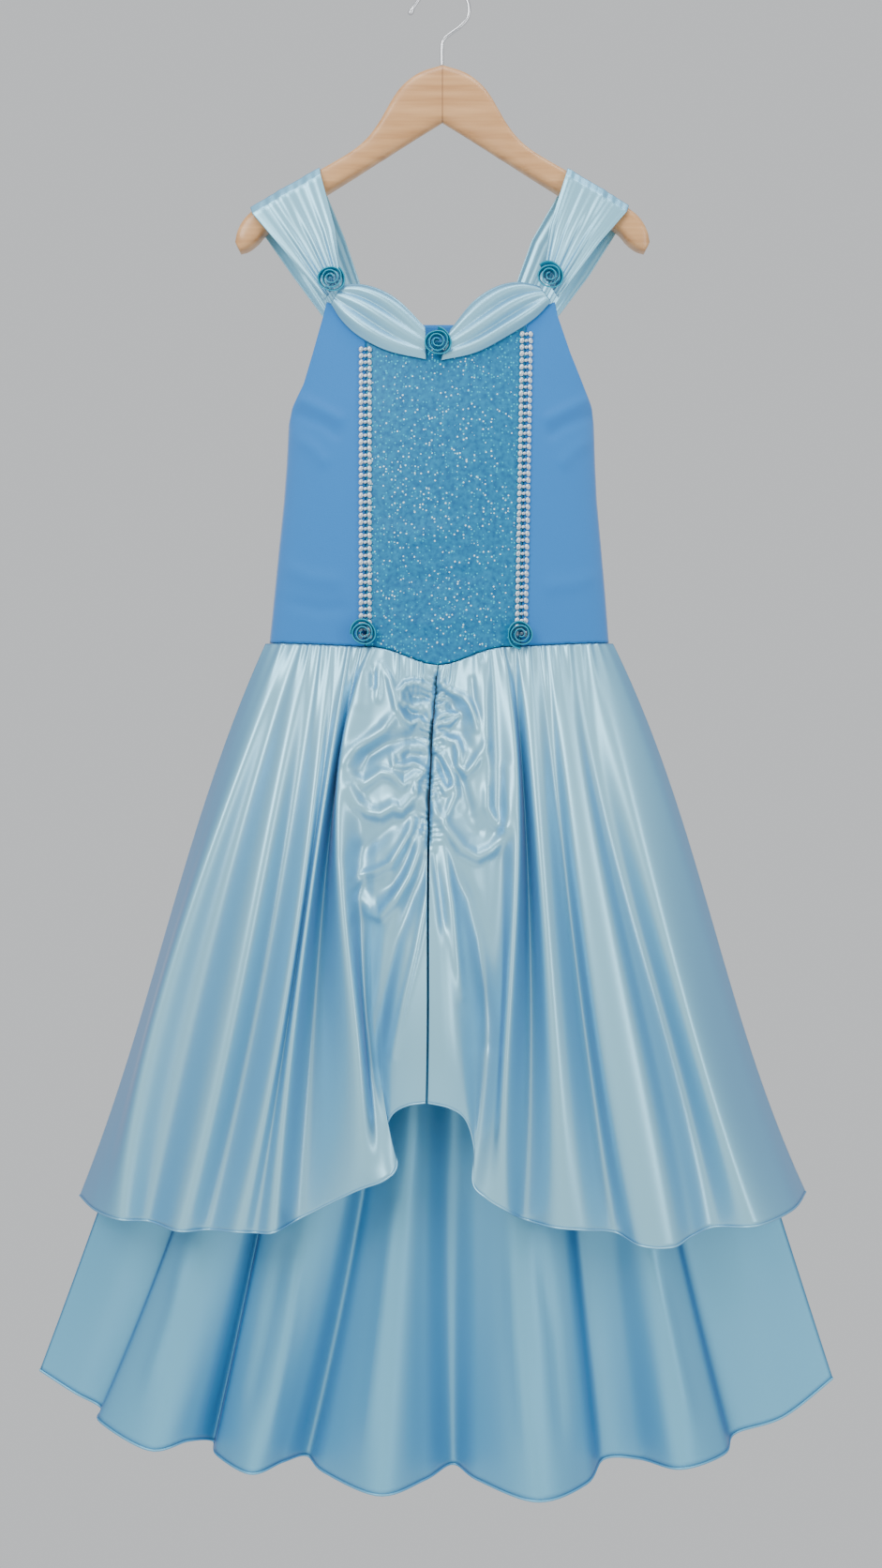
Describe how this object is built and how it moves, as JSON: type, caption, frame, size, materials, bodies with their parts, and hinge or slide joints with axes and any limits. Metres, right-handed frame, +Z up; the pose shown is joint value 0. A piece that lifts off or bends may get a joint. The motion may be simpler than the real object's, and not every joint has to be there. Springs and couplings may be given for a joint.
{
  "type": "princess costume dress on a hanger",
  "caption": "Child's blue satin costume dress with straps, neck drapes, ribbon roses, ruched overskirt and longer underskirt, hung on a wooden hanger",
  "frame": {"origin": "inside top of the hanger hook, where a rail or nail carries it", "axes": "+Z up, the length of the dress; -Y is the front; +X to the right seen from the front"},
  "size_m": [0.6771, 0.1658, 1.2672],
  "materials": {
    "hanger_wood": "clear lacquered light wood, a mitre seam at the centre",
    "hook_chrome": "bright plated wire",
    "glitter_cloth": "glitter dots on a teal blue ground",
    "knit_blue": "matte knit",
    "satin_blue": "bright satin",
    "satin_under": "duller satin",
    "silver_braid": "silver braid",
    "rose_ribbon": "teal ribbon"
  },
  "bodies": {
    "root": {"hanger_body": "hanger_wood", "hanger_hook": "hook_chrome", "bodice_front_centre": "glitter_cloth", "bodice_side_left": "knit_blue", "bodice_side_right": "knit_blue", "bodice_back": "knit_blue", "neck_drape_left": "satin_blue", "neck_drape_right": "satin_blue", "strap_left": "satin_blue", "strap_right": "satin_blue", "braid_left": "silver_braid", "braid_right": "silver_braid", "rose_shoulder_left": "rose_ribbon", "rose_shoulder_right": "rose_ribbon", "rose_neck": "rose_ribbon", "rose_waist_left": "rose_ribbon", "rose_waist_right": "rose_ribbon", "overskirt_front_left": "satin_blue", "overskirt_front_right": "satin_blue", "overskirt_back": "satin_blue", "underskirt_front": "satin_under", "underskirt_back": "satin_under"}
  },
  "joints": []
}
